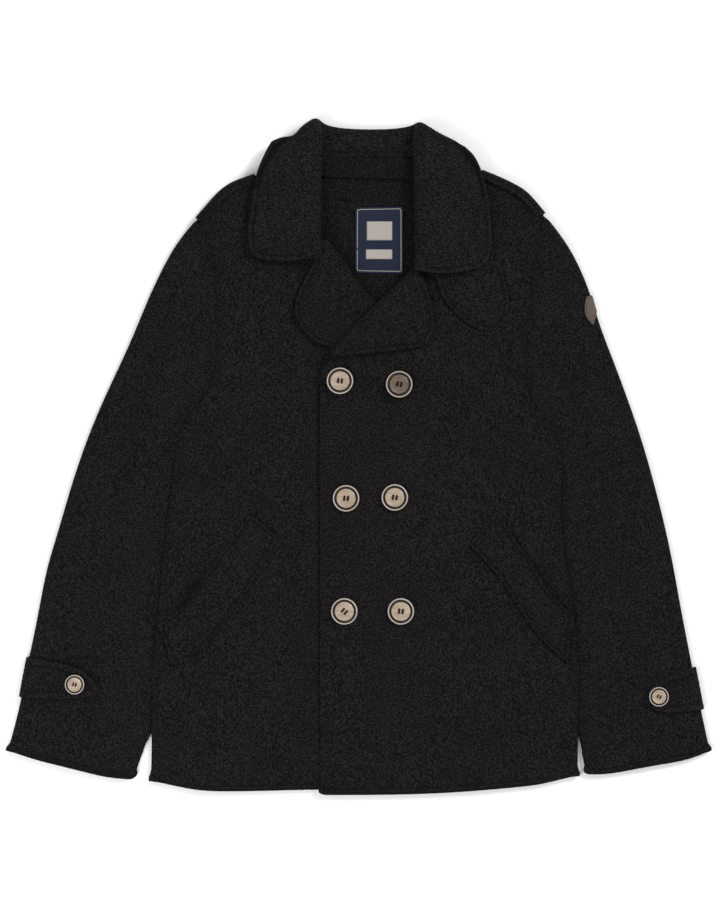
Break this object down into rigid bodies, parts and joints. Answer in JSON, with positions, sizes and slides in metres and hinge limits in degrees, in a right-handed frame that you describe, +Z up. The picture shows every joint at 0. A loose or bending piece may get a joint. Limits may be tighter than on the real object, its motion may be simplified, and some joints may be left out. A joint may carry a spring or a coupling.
{
  "type": "pea coat",
  "caption": "Double-breasted wool pea coat laid flat, front up: wide collar on the shoulders, two lapels, slanted welt pockets, shoulder straps and cuff straps",
  "frame": {"origin": "middle of the coat's footprint, on the surface it lies on", "axes": "+X across the coat towards the wearer's left sleeve, the longest extent; +Y along the coat towards the collar; +Z up off the surface, out of the front, the shortest extent"},
  "size_m": [0.809, 0.7792, 0.0312],
  "materials": {
    "wool_charcoal": "matte, felted",
    "wool_collar": "matte, felted",
    "horn_pale": "satin",
    "horn_brown": "satin",
    "label_navy": "matte, woven",
    "badge_taupe": "matte"
  },
  "bodies": {
    "root": {"front_right": "wool_charcoal", "lapel_facing_right": "wool_charcoal", "front_left": "wool_charcoal", "lapel_facing_left": "wool_charcoal", "back_panel": "wool_charcoal", "back_neck_facing": "wool_charcoal", "throat_tab": "wool_charcoal", "pocket_welt_right": "wool_charcoal", "pocket_welt_left": "wool_charcoal", "sleeve_right_top": "wool_charcoal", "sleeve_right_under": "wool_charcoal", "sleeve_left_top": "wool_charcoal", "sleeve_left_under": "wool_charcoal", "shoulder_strap_right": "wool_charcoal", "shoulder_strap_left": "wool_charcoal", "cuff_strap_right": "wool_charcoal", "cuff_strap_left": "wool_charcoal", "under_collar": "wool_collar", "top_collar": "wool_collar", "neck_label": "label_navy", "sleeve_badge": "badge_taupe", "button_top_right": "horn_pale", "button_middle_right": "horn_pale", "button_middle_left": "horn_pale", "button_bottom_right": "horn_pale", "button_bottom_left": "horn_pale", "cuff_button_right": "horn_pale", "cuff_button_left": "horn_pale", "button_top_left": "horn_brown"}
  },
  "joints": []
}
